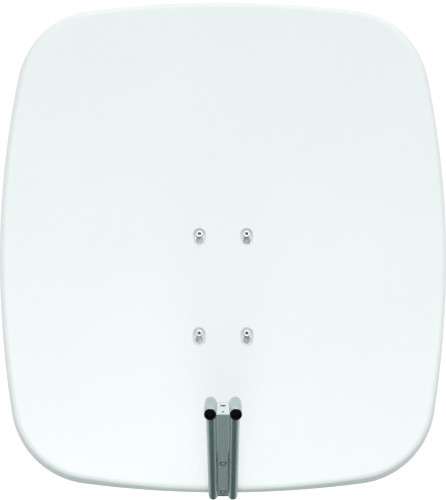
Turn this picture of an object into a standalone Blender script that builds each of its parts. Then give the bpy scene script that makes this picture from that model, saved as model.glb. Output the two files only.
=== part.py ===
"""Offset satellite dish: pressed reflector, twin-tube feed arm and an elevation mount that clamps to a mast.

Metres, +Z up along the mast. The origin is on the mast's axis at the middle of the clamp, and the dish looks
along -Y. The head (reflector, carrier and arm) is modelled in the aperture's own frame, where X is right,
-Y is the rim plane's forward normal and Z is up along the rim plane. The elevation_axis empty tilts it back.
"""
from math import acos, atan, atan2, cos, hypot, pi, radians, sin, sqrt, tan

import bmesh
import bpy
from mathutils import Matrix, Vector
from mathutils.geometry import convex_hull_2d, delaunay_2d_cdt

GAP = 0.0003                        # clearance between pieces that touch

# Reflector: an offset paraboloid inside a rounded square, measured at the sharp rim before the lip's fillet
HALF_WIDTH = 0.423
HALF_HEIGHT = 0.4665
SIDE_RADIUS = 1.457                 # each of the four long sides
CORNER_RADIUS = 0.1565
OFFSET_ANGLE = radians(22.5)        # beam against the rim plane's normal
LOWER_EDGE = 0.03                   # the lower rim's distance from the paraboloid's axis
SHEET = 0.0015
LIP_RADIUS = 0.009
SKIRT_DEPTH = 0.033                 # back edge behind the rim plane
SKIRT_DRAFT = radians(16)
LIP_STEPS = 4
SIDE_STEPS = 4                      # segments in half of a long side
CORNER_STEPS = 8
RING_SCALES = (0.84, 0.66, 0.47, 0.28, 0.1)

# Keyholes and their embossed seats
BOLT_X = 0.0465                     # half the pattern's width
BOLT_TOP = 0.0213                   # height of the upper pair above the aperture's centre
BOLT_BOTTOM = -0.1745
SEAT_SINK = 0.0043
SEAT_RADIUS = 0.0090
SEAT_LENGTH = 0.012                 # between the two round ends' centres
SEAT_WALL = 0.0035
KEY_SLOT_RADIUS = 0.0045
KEY_HOLE_RADIUS = 0.0078
KEY_TRAVEL = 0.0126                 # from the screw's seat down to the round hole's centre

# Elevation mount
REST_TILT = radians(5.5)
PIVOT = Vector((0, -0.118, 0.035))  # world
PIVOT_BEHIND = 0.128                # behind the aperture's centre
PIVOT_HEIGHT = -0.035
LOCK_RADIUS = 0.07
LOCK_ANGLE = radians(40)            # behind straight down, in the head's frame
TILT_DOWN = radians(18)
TILT_UP = radians(22)

# Plates
PLATE = 0.003
CARRIER_HALF = 0.063
CARRIER_BOTTOM = -0.150             # in the carrier's frame, which starts at the bolt pattern's centre
CARRIER_TOP = 0.128
EAR_BOTTOM = -0.100
EAR_TOP = 0.085
BRACKET_HALF = 0.0595
BRACKET_WEB = 0.040                 # distance of the bracket's web from the mast's axis
BRACKET_HALF_HEIGHT = 0.05

# Feed arm, as a centreline in the aperture's frame: forward distance and height
TUBE_RADIUS = 0.0086
TUBE_BORE = 0.0071
TUBE_HALF_PITCH = 0.01815
ARM_CROSSING = -0.4846              # height at which the arm's line crosses the rim plane
ARM_SLOPE = radians(26.3)
ARM_START = 0.0235                  # the tubes' lower ends along the line, from the rim plane
WEB_START = 0.0275
ARM_RUN = 0.3917
ARM_BEND = 0.236
NOSE_DROP = radians(18.2)
NOSE_LENGTH = 0.004
WEB_THICKNESS = 0.002
TUBE_SIDES = 16
WEB_SLOT_BACK = 0.037               # holes for the receiver's holder, measured back from the nose
WEB_PIN_BACK = 0.007

# Arm strap
STRAP = 0.0035
STRAP_HALF = 0.025
STRAP_END = 0.215                   # along the arm's line
STRAP_DROP = -0.4788                # height of its middle where it passes under the rim
STRAP_TOP = -0.060                  # in the carrier's frame
STRAP_BENDS = (0.012, 0.010)         # behind the rim, in front of it
WEB_SCREWS = (0.0457, 0.19)         # along the arm's line
STRAP_BOLTS = (-0.136, -0.088)      # in the carrier's frame

# Mast clamp
JAW = 0.0035
JAW_HALF_HEIGHT = 0.034
JAW_PATH = ((0.0575, 0.0378), (0.0385, 0.0378), (0.0315, 0.0127), (0, 0.0309))
CLAMP_X = 0.048
CLAMP_Z = 0.022
CLAMP_TIP = -0.070                  # how far behind the mast's axis the clamp bolts end

GALVANISED = ("galvanised_steel", (0.52, 0.55, 0.55), 0.9, 0.42)
ZINC = ("zinc_plated_steel", (0.66, 0.68, 0.68), 0.95, 0.3)
ENAMEL = ("reflector_enamel", (0.86, 0.89, 0.88), 0.0, 0.38)
ALUMINIUM = ("arm_metal", (0.42, 0.46, 0.45), 0.85, 0.4)
PLASTIC = ("black_plastic", (0.02, 0.025, 0.024), 0.0, 0.5)


# ---------------------------------------------------------------- scene helpers

def clear_scene():
    for existing in list(bpy.data.objects):
        bpy.data.objects.remove(existing, do_unlink=True)


def material(finish):
    name, colour, metallic, roughness = finish
    found = bpy.data.materials.get(name)
    if found:
        return found
    made = bpy.data.materials.new(name)
    made.use_nodes = True
    shader = made.node_tree.nodes["Principled BSDF"]
    shader.inputs["Base Color"].default_value = (*colour, 1)
    shader.inputs["Metallic"].default_value = metallic
    shader.inputs["Roughness"].default_value = roughness
    return made


def empty(name, parent=None, matrix=Matrix.Identity(4)):
    made = bpy.data.objects.new(name, None)
    made.empty_display_size = 0.03
    bpy.context.collection.objects.link(made)
    made.parent = parent
    made.matrix_basis = matrix
    return made


def part(name, mesh_data, finish, parent=None, matrix=Matrix.Identity(4)):
    """Turn a bmesh into a named object, shaded smooth except at its edges."""
    bmesh.ops.recalc_face_normals(mesh_data, faces=mesh_data.faces)
    mesh = bpy.data.meshes.new(name)
    mesh_data.to_mesh(mesh)
    mesh_data.free()
    mesh.shade_smooth()
    mesh.set_sharp_from_angle(angle=radians(35))
    made = bpy.data.objects.new(name, mesh)
    bpy.context.collection.objects.link(made)
    made.parent = parent
    made.matrix_basis = matrix
    mesh.materials.append(material(finish))
    return made


def along(position, direction):
    """A matrix at position whose Z points along direction."""
    turn = Vector(direction).to_track_quat("Z", "X").to_matrix().to_4x4()
    return Matrix.Translation(position) @ turn


def boolean(target, operation, tool_mesh):
    """Join or cut the target with a closed tool mesh given in the target's own coordinates."""
    tool = part(target.name + "_tool_" + str(len(target.modifiers)), tool_mesh, ZINC, target)
    tool.hide_render = True
    tool.display_type = "WIRE"
    modifier = target.modifiers.new(operation.lower(), "BOOLEAN")
    modifier.operation = operation
    modifier.object = tool


# ---------------------------------------------------------------- mesh helpers

def loft(mesh_data, rings, closed=False):
    """Skin rings of equal length, then cap both ends or join the last ring to the first."""
    loops = [[mesh_data.verts.new(point) for point in ring] for ring in rings]
    pairs = list(zip(loops, loops[1:]))
    if closed:
        pairs.append((loops[-1], loops[0]))
    for low, high in pairs:
        for index in range(len(low)):
            following = (index + 1) % len(low)
            mesh_data.faces.new((low[index], low[following], high[following], high[index]))
    if not closed:
        mesh_data.faces.new(loops[0])
        mesh_data.faces.new(loops[-1])


def ring(shape, radius, height, sides):
    """A round or hexagonal ring about Z; a hexagon's radius is half its width across flats."""
    points = []
    for index in range(sides):
        angle = 2 * pi * index / sides
        reach = radius
        if shape == "hex":
            reach = radius / cos((angle + pi / 6) % (pi / 3) - pi / 6)
        points.append(Vector((reach * cos(angle), reach * sin(angle), height)))
    return points


def turned(rings, sides=12, closed=False, turn=Matrix.Identity(4)):
    mesh_data = bmesh.new()
    loft(mesh_data, [[turn @ point for point in ring(*entry, sides)] for entry in rings], closed)
    return mesh_data


def prism(outline, low, high, lift):
    """Extrude a flat outline from low to high; lift maps (a, b, depth) to a 3-D point."""
    mesh_data = bmesh.new()
    loft(mesh_data, [[lift(a, b, depth) for a, b in outline] for depth in (low, high)])
    return mesh_data


def across_x(a, b, depth):
    """Outlines given in (y, z), extruded along X."""
    return Vector((depth, a, b))


def along_z(a, b, depth):
    """Outlines given in (x, y), extruded along Z."""
    return Vector((a, b, depth))


def along_y(a, b, depth):
    """Outlines given in (x, z), extruded along Y."""
    return Vector((a, depth, b))


def merged(*meshes):
    """One bmesh that holds several closed bodies."""
    result = bmesh.new()
    for source in meshes:
        copy = bpy.data.meshes.new("merge")
        source.to_mesh(copy)
        source.free()
        result.from_mesh(copy)
        bpy.data.meshes.remove(copy)
    return result


def drills(holes, radius, length=0.02, sides=16):
    """Cylinders through each (position, direction), for cutting round holes."""
    rods = [("round", radius, -length / 2), ("round", radius, length / 2)]
    return merged(*(turned(rods, sides, turn=along(position, direction)) for position, direction in holes))


def arc(centre, radius, start, end, steps):
    """Points on an arc, both ends included."""
    angles = [start + (end - start) * step / steps for step in range(steps + 1)]
    return [(centre[0] + radius * cos(angle), centre[1] + radius * sin(angle)) for angle in angles]


def rounded(path, radii, steps=5):
    """A polyline whose inner corners are replaced by arcs."""
    points = [Vector(path[0])]
    for before, corner, after, radius in zip(path, path[1:], path[2:], radii):
        corner = Vector(corner)
        back = (Vector(before) - corner).normalized()
        ahead = (Vector(after) - corner).normalized()
        half = acos(back.dot(ahead)) / 2
        centre = corner + (back + ahead).normalized() * radius / sin(half)
        first = corner + back * radius / tan(half) - centre
        last = corner + ahead * radius / tan(half) - centre
        sweep = first.angle_signed(last)
        for step in range(steps + 1):
            points.append(centre + Matrix.Rotation(-sweep * step / steps, 2) @ first)
    points.append(Vector(path[-1]))
    return points


def thickened(path, thickness):
    """The outline of a strip of even thickness that follows a path."""
    sides = [[], []]
    for index, point in enumerate(path):
        before = path[max(index - 1, 0)]
        after = path[min(index + 1, len(path) - 1)]
        direction = (after - before).normalized()
        if 0 < index < len(path) - 1:
            step_in = (point - before).normalized()
            stretch = 1 / max(step_in.dot(direction), 0.5)
        else:
            stretch = 1
        offset = Vector((-direction.y, direction.x)) * thickness / 2 * stretch
        sides[0].append(point + offset)
        sides[1].append(point - offset)
    return sides[0] + sides[1][::-1]


def hull(points):
    """The convex outline around a set of flat points."""
    return [points[index] for index in convex_hull_2d([Vector(point) for point in points])]


def rounded_box(low, high, radius, steps=3):
    corners = ((high[0], high[1], 0), (low[0], high[1], 1), (low[0], low[1], 2), (high[0], low[1], 3))
    outline = []
    for x, z, quarter in corners:
        centre = (x - radius if quarter in (0, 3) else x + radius, z - radius if quarter < 2 else z + radius)
        outline += arc(centre, radius, quarter * pi / 2, (quarter + 1) * pi / 2, steps)
    return outline


# ---------------------------------------------------------------- paraboloid and outline

CHORD = 2 * HALF_HEIGHT * cos(OFFSET_ANGLE)
FOCAL_LENGTH = (2 * LOWER_EDGE + CHORD) / (4 * tan(OFFSET_ANGLE))
MID_OFFSET = LOWER_EDGE + CHORD / 2
MID_DEPTH = (LOWER_EDGE ** 2 + (LOWER_EDGE + CHORD) ** 2) / (8 * FOCAL_LENGTH)


def dish_height(x, z):
    """How far the paraboloid stands in front of the rim plane at (x, z): negative inside the bowl."""
    lean, rise = sin(OFFSET_ANGLE), cos(OFFSET_ANGLE)
    across = MID_OFFSET + z * rise
    linear = 2 * across * lean + 4 * FOCAL_LENGTH * rise
    constant = x * x + across * across - 4 * FOCAL_LENGTH * (MID_DEPTH + z * lean)
    return (linear - sqrt(linear * linear - 4 * lean * lean * constant)) / (2 * lean * lean)


def quarter_outline():
    """The upper right quarter of the rim, from the +X side to the top: side arc, corner arc, top arc."""
    side_centre = Vector((HALF_WIDTH - SIDE_RADIUS, 0))
    top_centre = Vector((0, HALF_HEIGHT - SIDE_RADIUS))
    reach = SIDE_RADIUS - CORNER_RADIUS
    span = top_centre - side_centre
    middle = (side_centre + top_centre) / 2
    square = Vector((-span.y, span.x)).normalized()
    corner_centre = middle + square * sqrt(reach * reach - span.length_squared / 4)
    to_side = corner_centre - side_centre
    to_top = corner_centre - top_centre
    first = atan2(to_side.y, to_side.x)
    second = atan2(to_top.y, to_top.x)
    points = arc(side_centre, SIDE_RADIUS, 0, first, SIDE_STEPS)
    points += arc(corner_centre, CORNER_RADIUS, first, second, CORNER_STEPS)[1:]
    points += arc(top_centre, SIDE_RADIUS, second, pi / 2, SIDE_STEPS)[1:]
    return points


def rim_outline():
    """The whole rim, anticlockwise from the +X side, without repeating a point."""
    quarter = quarter_outline()
    upper = quarter + [(-x, z) for x, z in quarter[-2::-1]]
    lower = [(x, -z) for x, z in upper[-2:0:-1]]
    return upper + lower


def rim_section(before, point, after):
    """Points of the lip and skirt at one place on the rim, from the bowl's edge to the skirt's back edge."""
    tangent = (Vector(after) - Vector(before)).normalized()
    outward = Vector((tangent.y, -tangent.x))
    edge = Vector(point)
    height = dish_height(*edge)
    inner = edge - outward * LIP_RADIUS
    bowl = Vector((-LIP_RADIUS, dish_height(*inner) - height)).normalized()
    skirt = Vector((sin(SKIRT_DRAFT), -cos(SKIRT_DRAFT)))
    half = acos(bowl.dot(skirt)) / 2
    centre = (bowl + skirt).normalized() * LIP_RADIUS / sin(half)
    first = bowl * LIP_RADIUS / tan(half) - centre
    last = skirt * LIP_RADIUS / tan(half) - centre
    sweep = first.angle_signed(last)
    section = [centre + Matrix.Rotation(-sweep * step / LIP_STEPS, 2) @ first for step in range(LIP_STEPS + 1)]
    section.append(skirt * (height + SKIRT_DEPTH) / cos(SKIRT_DRAFT))
    places = []
    for out, forward in section:
        flat = edge + outward * out
        places.append(Vector((flat.x, -(height + forward), flat.y)))
    return places


# ---------------------------------------------------------------- frames

SEAT_TOP = -dish_height(BOLT_X, BOLT_TOP) + SEAT_SINK
SEAT_BOTTOM = -dish_height(BOLT_X, BOLT_BOTTOM) + SEAT_SINK
SEAT_TILT = atan((SEAT_TOP - SEAT_BOTTOM) / (BOLT_TOP - BOLT_BOTTOM))
PATTERN_HALF = hypot(SEAT_TOP - SEAT_BOTTOM, BOLT_TOP - BOLT_BOTTOM) / 2
PATTERN_CENTRE = Vector((0, (SEAT_TOP + SEAT_BOTTOM) / 2 + SHEET, (BOLT_TOP + BOLT_BOTTOM) / 2))
CARRIER_MATRIX = Matrix.Translation(PATTERN_CENTRE) @ Matrix.Rotation(-SEAT_TILT, 4, "X")
PIVOT_IN_APERTURE = Vector((0, PIVOT_BEHIND, PIVOT_HEIGHT))
LOCK_IN_APERTURE = PIVOT_IN_APERTURE + Vector((0, sin(LOCK_ANGLE), -cos(LOCK_ANGLE))) * LOCK_RADIUS


def in_carrier(point):
    return CARRIER_MATRIX.inverted() @ point


# ---------------------------------------------------------------- reflector

def stadium(centre_x, top, length, radius, steps):
    """An upright oval: half circles at top and at top - length."""
    return (arc((centre_x, top), radius, 0, pi, steps)
            + arc((centre_x, top - length), radius, pi, 2 * pi, steps))


def keyhole(centre_x, seat):
    """A narrow slot whose upper end holds the screw, opening into a round hole below it."""
    hole = seat - KEY_TRAVEL
    half_mouth = atan2(KEY_SLOT_RADIUS, sqrt(KEY_HOLE_RADIUS ** 2 - KEY_SLOT_RADIUS ** 2))
    slot = arc((centre_x, seat), KEY_SLOT_RADIUS, 0, pi, 6)
    return slot + arc((centre_x, hole), KEY_HOLE_RADIUS, pi / 2 + half_mouth, 5 * pi / 2 - half_mouth, 14)


def seat_depth(z):
    """Depth of the flat seats' plane behind the rim plane."""
    return SEAT_BOTTOM + (z - BOLT_BOTTOM) * tan(SEAT_TILT)


SEATS = [(centre_x, seat) for centre_x in (-BOLT_X, BOLT_X) for seat in (BOLT_TOP, BOLT_BOTTOM)]


def from_seat(flat, centre_x, seat):
    """Distance from the line between the centres of a seat's two round ends."""
    beyond = max(abs(flat.y - (seat - KEY_TRAVEL / 2)) - SEAT_LENGTH / 2, 0)
    return hypot(flat.x - centre_x, beyond)


def in_keyhole(flat, centre_x, seat):
    """Whether a point lies inside a keyhole's outline."""
    in_hole = hypot(flat.x - centre_x, flat.y - (seat - KEY_TRAVEL)) < KEY_HOLE_RADIUS * 0.99
    in_slot = hypot(flat.x - centre_x, max(flat.y - seat, 0)) < KEY_SLOT_RADIUS * 0.97
    return in_hole or (in_slot and flat.y > seat - KEY_TRAVEL)


def bowl_points(sections):
    """Flat points and edges of the bowl: its rim first, then inner rings, then the keyholes and their seats."""
    rim = [Vector((section[0].x, section[0].z)) for section in sections]
    rings = [Vector((0, 0))]
    for scale in RING_SCALES:
        step = 1 if scale > 0.6 else 2 if scale > 0.2 else 8
        rings += [point * scale for point in rim[::step]]
    clear = SEAT_RADIUS + SEAT_WALL + 0.004
    points = rim + [point for point in rings if all(from_seat(point, *seat) > clear for seat in SEATS)]
    edges = [(index, (index + 1) % len(rim)) for index in range(len(rim))]
    for centre_x, seat in SEATS:
        top = seat - KEY_TRAVEL / 2 + SEAT_LENGTH / 2
        for loop in (keyhole(centre_x, seat), stadium(centre_x, top, SEAT_LENGTH, SEAT_RADIUS, 7),
                     stadium(centre_x, top, SEAT_LENGTH, SEAT_RADIUS + SEAT_WALL, 7)):
            first = len(points)
            points += [Vector(point) for point in loop]
            edges += [(first + step, first + (step + 1) % len(loop)) for step in range(len(loop))]
    return points, edges


def make_reflector(parent):
    rim = rim_outline()
    count = len(rim)
    sections = [rim_section(rim[index - 1], rim[index], rim[(index + 1) % count]) for index in range(count)]
    points, edges = bowl_points(sections)
    flats, _, faces, _, _, _ = delaunay_2d_cdt(points, edges, [], 0, 1e-6)

    mesh_data = bmesh.new()
    bowl = []
    for flat in flats:
        sunk = any(from_seat(flat, *seat) < SEAT_RADIUS + SEAT_WALL / 2 for seat in SEATS)
        depth = seat_depth(flat.y) if sunk else -dish_height(flat.x, flat.y)
        bowl.append(mesh_data.verts.new((flat.x, depth, flat.y)))
    for face in faces:
        centre = sum((flats[index] for index in face), Vector((0, 0))) / len(face)
        if not any(in_keyhole(centre, *seat) for seat in SEATS):
            mesh_data.faces.new([bowl[index] for index in face])
    loops = [bowl[:count]]
    for level in range(1, LIP_STEPS + 2):
        loops.append([mesh_data.verts.new(section[level]) for section in sections])
    for inner, outer in zip(loops, loops[1:]):
        for index in range(count):
            following = (index + 1) % count
            mesh_data.faces.new((inner[index], outer[index], outer[following], inner[following]))
    made = part("reflector", mesh_data, ENAMEL, parent)
    if made.data.polygons[0].normal.y > 0:
        made.data.flip_normals()
    shell = made.modifiers.new("sheet", "SOLIDIFY")
    shell.thickness = SHEET
    shell.offset = -1
    shell.use_even_offset = True
    shell.use_quality_normals = True


# ---------------------------------------------------------------- fasteners

def hex_bolt(name, across_flats, head, diameter, length, parent, matrix):
    """Underside of the head at the matrix's origin, head towards +Z, shank towards -Z."""
    chamfer = head * 0.12
    rings = [("round", across_flats * 0.47, head), ("hex", across_flats / 2, head - chamfer),
             ("hex", across_flats / 2, 0), ("round", diameter / 2, 0), ("round", diameter / 2, -length)]
    return part(name, turned(rings), ZINC, parent, matrix)


def nut(name, across_flats, height, diameter, parent, matrix):
    """Seat at the matrix's origin, the rest towards +Z."""
    bore = diameter / 2 + GAP
    rings = [("round", bore, 0), ("hex", across_flats / 2, 0), ("hex", across_flats / 2, height),
             ("round", bore, height)]
    return part(name, turned(rings, closed=True), ZINC, parent, matrix)


def flange_nut(name, parent, matrix):
    """M8 nut with a built-in washer."""
    rings = [("round", 0.0043, 0), ("round", 0.0088, 0), ("round", 0.0088, 0.0012), ("hex", 0.0065, 0.0022),
             ("hex", 0.0065, 0.008), ("round", 0.0043, 0.008)]
    return part(name, turned(rings, closed=True), ZINC, parent, matrix)


def washer(name, outer, thickness, diameter, parent, matrix):
    bore = diameter / 2 + GAP
    rings = [("round", bore, 0), ("round", outer, 0), ("round", outer, thickness), ("round", bore, thickness)]
    return part(name, turned(rings, closed=True), ZINC, parent, matrix)


def socket_screw(name, length, parent, matrix):
    """M8 cap screw with a hexagon socket, underside of the head at the matrix's origin."""
    rings = [("round", 0.004, -length), ("round", 0.004, 0), ("round", 0.0065, 0), ("round", 0.0065, 0.0072),
             ("round", 0.0059, 0.008), ("hex", 0.003, 0.008), ("hex", 0.003, 0.004)]
    return part(name, turned(rings, 24), ZINC, parent, matrix)


def make_reflector_screws(parent):
    """Screws through the keyholes and the carrier, with their nuts, in the carrier's frame."""
    for side, centre_x in (("left", -BOLT_X), ("right", BOLT_X)):
        for level, height in (("upper", PATTERN_HALF), ("lower", -PATTERN_HALF)):
            label = level + "_" + side
            front = along((centre_x, -SHEET - GAP, height), (0, -1, 0))
            back = along((centre_x, PLATE + 2 * GAP, height), (0, 1, 0))
            socket_screw("reflector_screw_" + label, 0.0155, parent, front)
            flange_nut("reflector_nut_" + label, parent, back)


# ---------------------------------------------------------------- carrier

def make_carrier(parent):
    """Folded plate: a base behind the reflector and two ears that reach back to the pivot and lock bolts."""
    outline = rounded_box((-CARRIER_HALF, CARRIER_BOTTOM), (CARRIER_HALF, CARRIER_TOP), 0.012)
    carrier = part("carrier", prism(outline, GAP, GAP + PLATE, along_y), GALVANISED, parent)
    pivot = in_carrier(PIVOT_IN_APERTURE)
    lock = in_carrier(LOCK_IN_APERTURE)
    ear = hull([(GAP, EAR_BOTTOM), (GAP, EAR_TOP), (0.012, EAR_TOP), (0.012, EAR_BOTTOM)]
               + arc((pivot.y, pivot.z), 0.02, 0, 2 * pi, 20)
               + arc((lock.y, lock.z), 0.015, 0, 2 * pi, 16))
    for side in (-1, 1):
        inner, outer = sorted((side * (CARRIER_HALF - PLATE), side * CARRIER_HALF))
        boolean(carrier, "UNION", prism(ear, inner, outer, across_x))
    screws = [((x, 0, z), (0, 1, 0)) for x in (-BOLT_X, BOLT_X) for z in (-PATTERN_HALF, PATTERN_HALF)]
    boolean(carrier, "DIFFERENCE", drills(screws, 0.0045))
    boolean(carrier, "DIFFERENCE", drills([((0, 0, z), (0, 1, 0)) for z in STRAP_BOLTS], 0.0043))
    boolean(carrier, "DIFFERENCE", drills([(pivot, (1, 0, 0))], 0.0053, 0.2))
    boolean(carrier, "DIFFERENCE", drills([(lock, (1, 0, 0))], 0.0043, 0.2))


# ---------------------------------------------------------------- feed arm

def arm_line(distance, lift=0.0):
    """A place on the arm's straight part as (y, z): distance from the rim plane, lifted off the centreline."""
    forward = distance * cos(ARM_SLOPE) - lift * sin(ARM_SLOPE)
    return Vector((-forward, ARM_CROSSING + distance * sin(ARM_SLOPE) + lift * cos(ARM_SLOPE)))


def arm_path(start=ARM_START):
    """The arm's centreline in (y, z): straight, a long bend downward, and a short straight nose."""
    points = [arm_line(start), arm_line(ARM_RUN)]
    centre = arm_line(ARM_RUN, -ARM_BEND)
    steps = 8
    for step in range(1, steps + 1):
        slope = ARM_SLOPE - (ARM_SLOPE + NOSE_DROP) * step / steps
        points.append(centre + Vector((sin(slope), cos(slope))) * ARM_BEND)
    points.append(points[-1] + Vector((-cos(NOSE_DROP), -sin(NOSE_DROP))) * NOSE_LENGTH)
    return points


def path_normals(path):
    """Upward unit normals along a path in (y, z)."""
    normals = []
    for index in range(len(path)):
        ahead = path[min(index + 1, len(path) - 1)] - path[max(index - 1, 0)]
        normals.append(Vector((ahead.y, -ahead.x)).normalized())
    return normals


def make_tube(name, centre_x, parent):
    path = arm_path()
    rings = []
    for radius, order in ((TUBE_RADIUS, 1), (TUBE_BORE, -1)):
        for point, normal in list(zip(path, path_normals(path)))[::order]:
            loop = []
            for index in range(TUBE_SIDES):
                angle = 2 * pi * index / TUBE_SIDES
                flat = point + normal * radius * sin(angle)
                loop.append(Vector((centre_x + radius * cos(angle), flat.x, flat.y)))
            rings.append(loop)
    mesh_data = bmesh.new()
    loft(mesh_data, rings, closed=True)
    return part(name, mesh_data, ALUMINIUM, parent)


def nose_frame(back, lift):
    """A place on the web near the nose, measured back along the path, and the web's upward normal there."""
    path = arm_path()
    normals = path_normals(path)
    index = len(path) - 1
    left = back
    while index > 1 and (path[index] - path[index - 1]).length < left:
        left -= (path[index] - path[index - 1]).length
        index -= 1
    step = (path[index - 1] - path[index]).normalized()
    normal = Vector((-step.y, step.x))
    if normal.y < 0:
        normal = -normal
    flat = path[index] + step * left + normal * lift
    return Vector((0, flat.x, flat.y)), Vector((0, normal.x, normal.y))


def make_web(parent):
    path = arm_path(WEB_START)
    half = TUBE_HALF_PITCH - TUBE_RADIUS - GAP
    web = part("arm_web", prism(thickened(path, WEB_THICKNESS), -half, half, across_x), ALUMINIUM, parent)
    boolean(web, "DIFFERENCE", drills([nose_frame(WEB_SLOT_BACK, 0)], 0.0043, 0.01))
    boolean(web, "DIFFERENCE", drills([nose_frame(WEB_PIN_BACK, 0)], 0.0021, 0.01, 12))
    boolean(web, "DIFFERENCE", drills(arm_screw_axes(), 0.0033, 0.008))


def arm_screw_axes():
    """Position on the centreline and direction of each screw that holds the web to the strap."""
    places = [arm_line(distance) for distance in WEB_SCREWS]
    return [(Vector((0, place.x, place.y)), Vector((0, sin(ARM_SLOPE), cos(ARM_SLOPE)))) for place in places]


def strap_path():
    """The strap's middle in (y, z): up the carrier's back, under the rim and along the arm's upper side."""
    lift = TUBE_RADIUS + GAP + STRAP / 2
    back = PLATE + 2 * GAP + STRAP / 2
    top = CARRIER_MATRIX @ Vector((0, back, STRAP_TOP))
    low = CARRIER_MATRIX @ Vector((0, back, -0.3))
    fall = (top - low) / (top.z - low.z)
    heel = top + fall * (STRAP_DROP - top.z)
    on_arm = arm_line(STRAP_END, lift)
    slope = tan(ARM_SLOPE)
    toe = (on_arm.x + (on_arm.y - STRAP_DROP) / slope, STRAP_DROP)
    return rounded([(top.y, top.z), (heel.y, heel.z), toe, tuple(on_arm)], STRAP_BENDS)


def make_strap(parent):
    outline = thickened(strap_path(), STRAP)
    strap = part("arm_strap", prism(outline, -STRAP_HALF, STRAP_HALF, across_x), GALVANISED, parent)
    behind = [CARRIER_MATRIX @ Vector((0, PLATE, height)) for height in STRAP_BOLTS]
    backward = CARRIER_MATRIX.to_3x3() @ Vector((0, 1, 0))
    boolean(strap, "DIFFERENCE", drills([(place, backward) for place in behind], 0.0043))
    lift = TUBE_RADIUS + GAP + STRAP / 2
    places = [(place + direction * lift, direction) for place, direction in arm_screw_axes()]
    boolean(strap, "DIFFERENCE", drills(places, 0.0033, 0.012))


def make_arm_hardware(parent, carrier_parent):
    for side, centre_x in (("left", -TUBE_HALF_PITCH), ("right", TUBE_HALF_PITCH)):
        make_tube("arm_tube_" + side, centre_x, parent)
        nose = arm_path()[-1]
        ahead = Vector((0, -cos(NOSE_DROP), -sin(NOSE_DROP)))
        place = Vector((centre_x, nose.x, nose.y)) + ahead * GAP
        rings = [("round", 0.0068, -0.008), ("round", 0.0068, 0), ("round", 0.0085, 0),
                 ("round", 0.0085, 0.0008), ("round", 0.0081, 0.0012)]
        part("tube_plug_" + side, turned(rings, 16), PLASTIC, parent, along(place, ahead))
    for label, (place, upward) in zip(("lower", "upper"), arm_screw_axes()):
        under = place - upward * (WEB_THICKNESS / 2 + GAP)
        above = place + upward * (TUBE_RADIUS + STRAP + 2 * GAP)
        hex_bolt("web_screw_" + label, 0.01, 0.004, 0.006, 0.021, parent, along(under, -upward))
        nut("web_nut_" + label, 0.01, 0.005, 0.006, parent, along(above, upward))
    for label, height in zip(("lower", "upper"), STRAP_BOLTS):
        seat = PLATE + STRAP + 3 * GAP
        washer("strap_washer_" + label, 0.008, 0.0016, 0.008, carrier_parent, along((0, seat, height), (0, 1, 0)))
        head = along((0, seat + 0.0016 + GAP, height), (0, 1, 0))
        hex_bolt("strap_bolt_" + label, 0.013, 0.0053, 0.008, 0.0089, carrier_parent, head)


# ---------------------------------------------------------------- elevation bolts

def make_pivot(parent):
    """One long bolt through both ears and both bracket sides, about the elevation axis."""
    seat = CARRIER_HALF + GAP
    washer("pivot_washer_right", 0.0105, 0.002, 0.01, parent, along((seat, 0, 0), (1, 0, 0)))
    washer("pivot_washer_left", 0.0105, 0.002, 0.01, parent, along((-seat, 0, 0), (-1, 0, 0)))
    head = seat + 0.002 + GAP
    hex_bolt("pivot_bolt", 0.017, 0.0064, 0.01, 2 * head + 0.0115, parent, along((head, 0, 0), (1, 0, 0)))
    nut("pivot_nut", 0.017, 0.008, 0.01, parent, along((-head, 0, 0), (-1, 0, 0)))


def make_lock_bolts(parent):
    """A bolt from inside each bracket side, through its curved slot and the carrier's ear."""
    place = Vector((0, sin(LOCK_ANGLE), -cos(LOCK_ANGLE))) * LOCK_RADIUS
    inner = BRACKET_HALF - PLATE - GAP
    outer = CARRIER_HALF + GAP
    for side, sign in (("left", -1), ("right", 1)):
        def at(x):
            return place + Vector((sign * x, 0, 0))
        hex_bolt("lock_bolt_" + side, 0.013, 0.0053, 0.008, 0.0185, parent, along(at(inner), (-sign, 0, 0)))
        washer("lock_washer_" + side, 0.008, 0.0016, 0.008, parent, along(at(outer), (sign, 0, 0)))
        nut("lock_nut_" + side, 0.013, 0.0065, 0.008, parent, along(at(outer + 0.0016 + GAP), (sign, 0, 0)))


# ---------------------------------------------------------------- mast bracket and clamp

def elevation_slot():
    """The lock bolt's curved slot in (y, z), about the pivot, with round ends."""
    start = LOCK_ANGLE - REST_TILT - TILT_UP
    end = LOCK_ANGLE - REST_TILT + TILT_DOWN
    width = 0.0045
    centre = (PIVOT.y, PIVOT.z)
    low = start - pi / 2
    high = end - pi / 2
    end_low = (centre[0] + LOCK_RADIUS * cos(low), centre[1] + LOCK_RADIUS * sin(low))
    end_high = (centre[0] + LOCK_RADIUS * cos(high), centre[1] + LOCK_RADIUS * sin(high))
    outline = arc(centre, LOCK_RADIUS + width, low, high, 8)
    outline += arc(end_high, width, high, high + pi, 6)[1:-1]
    outline += arc(centre, LOCK_RADIUS - width, high, low, 8)
    outline += arc(end_low, width, low + pi, low + 2 * pi, 6)[1:-1]
    return outline


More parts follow.
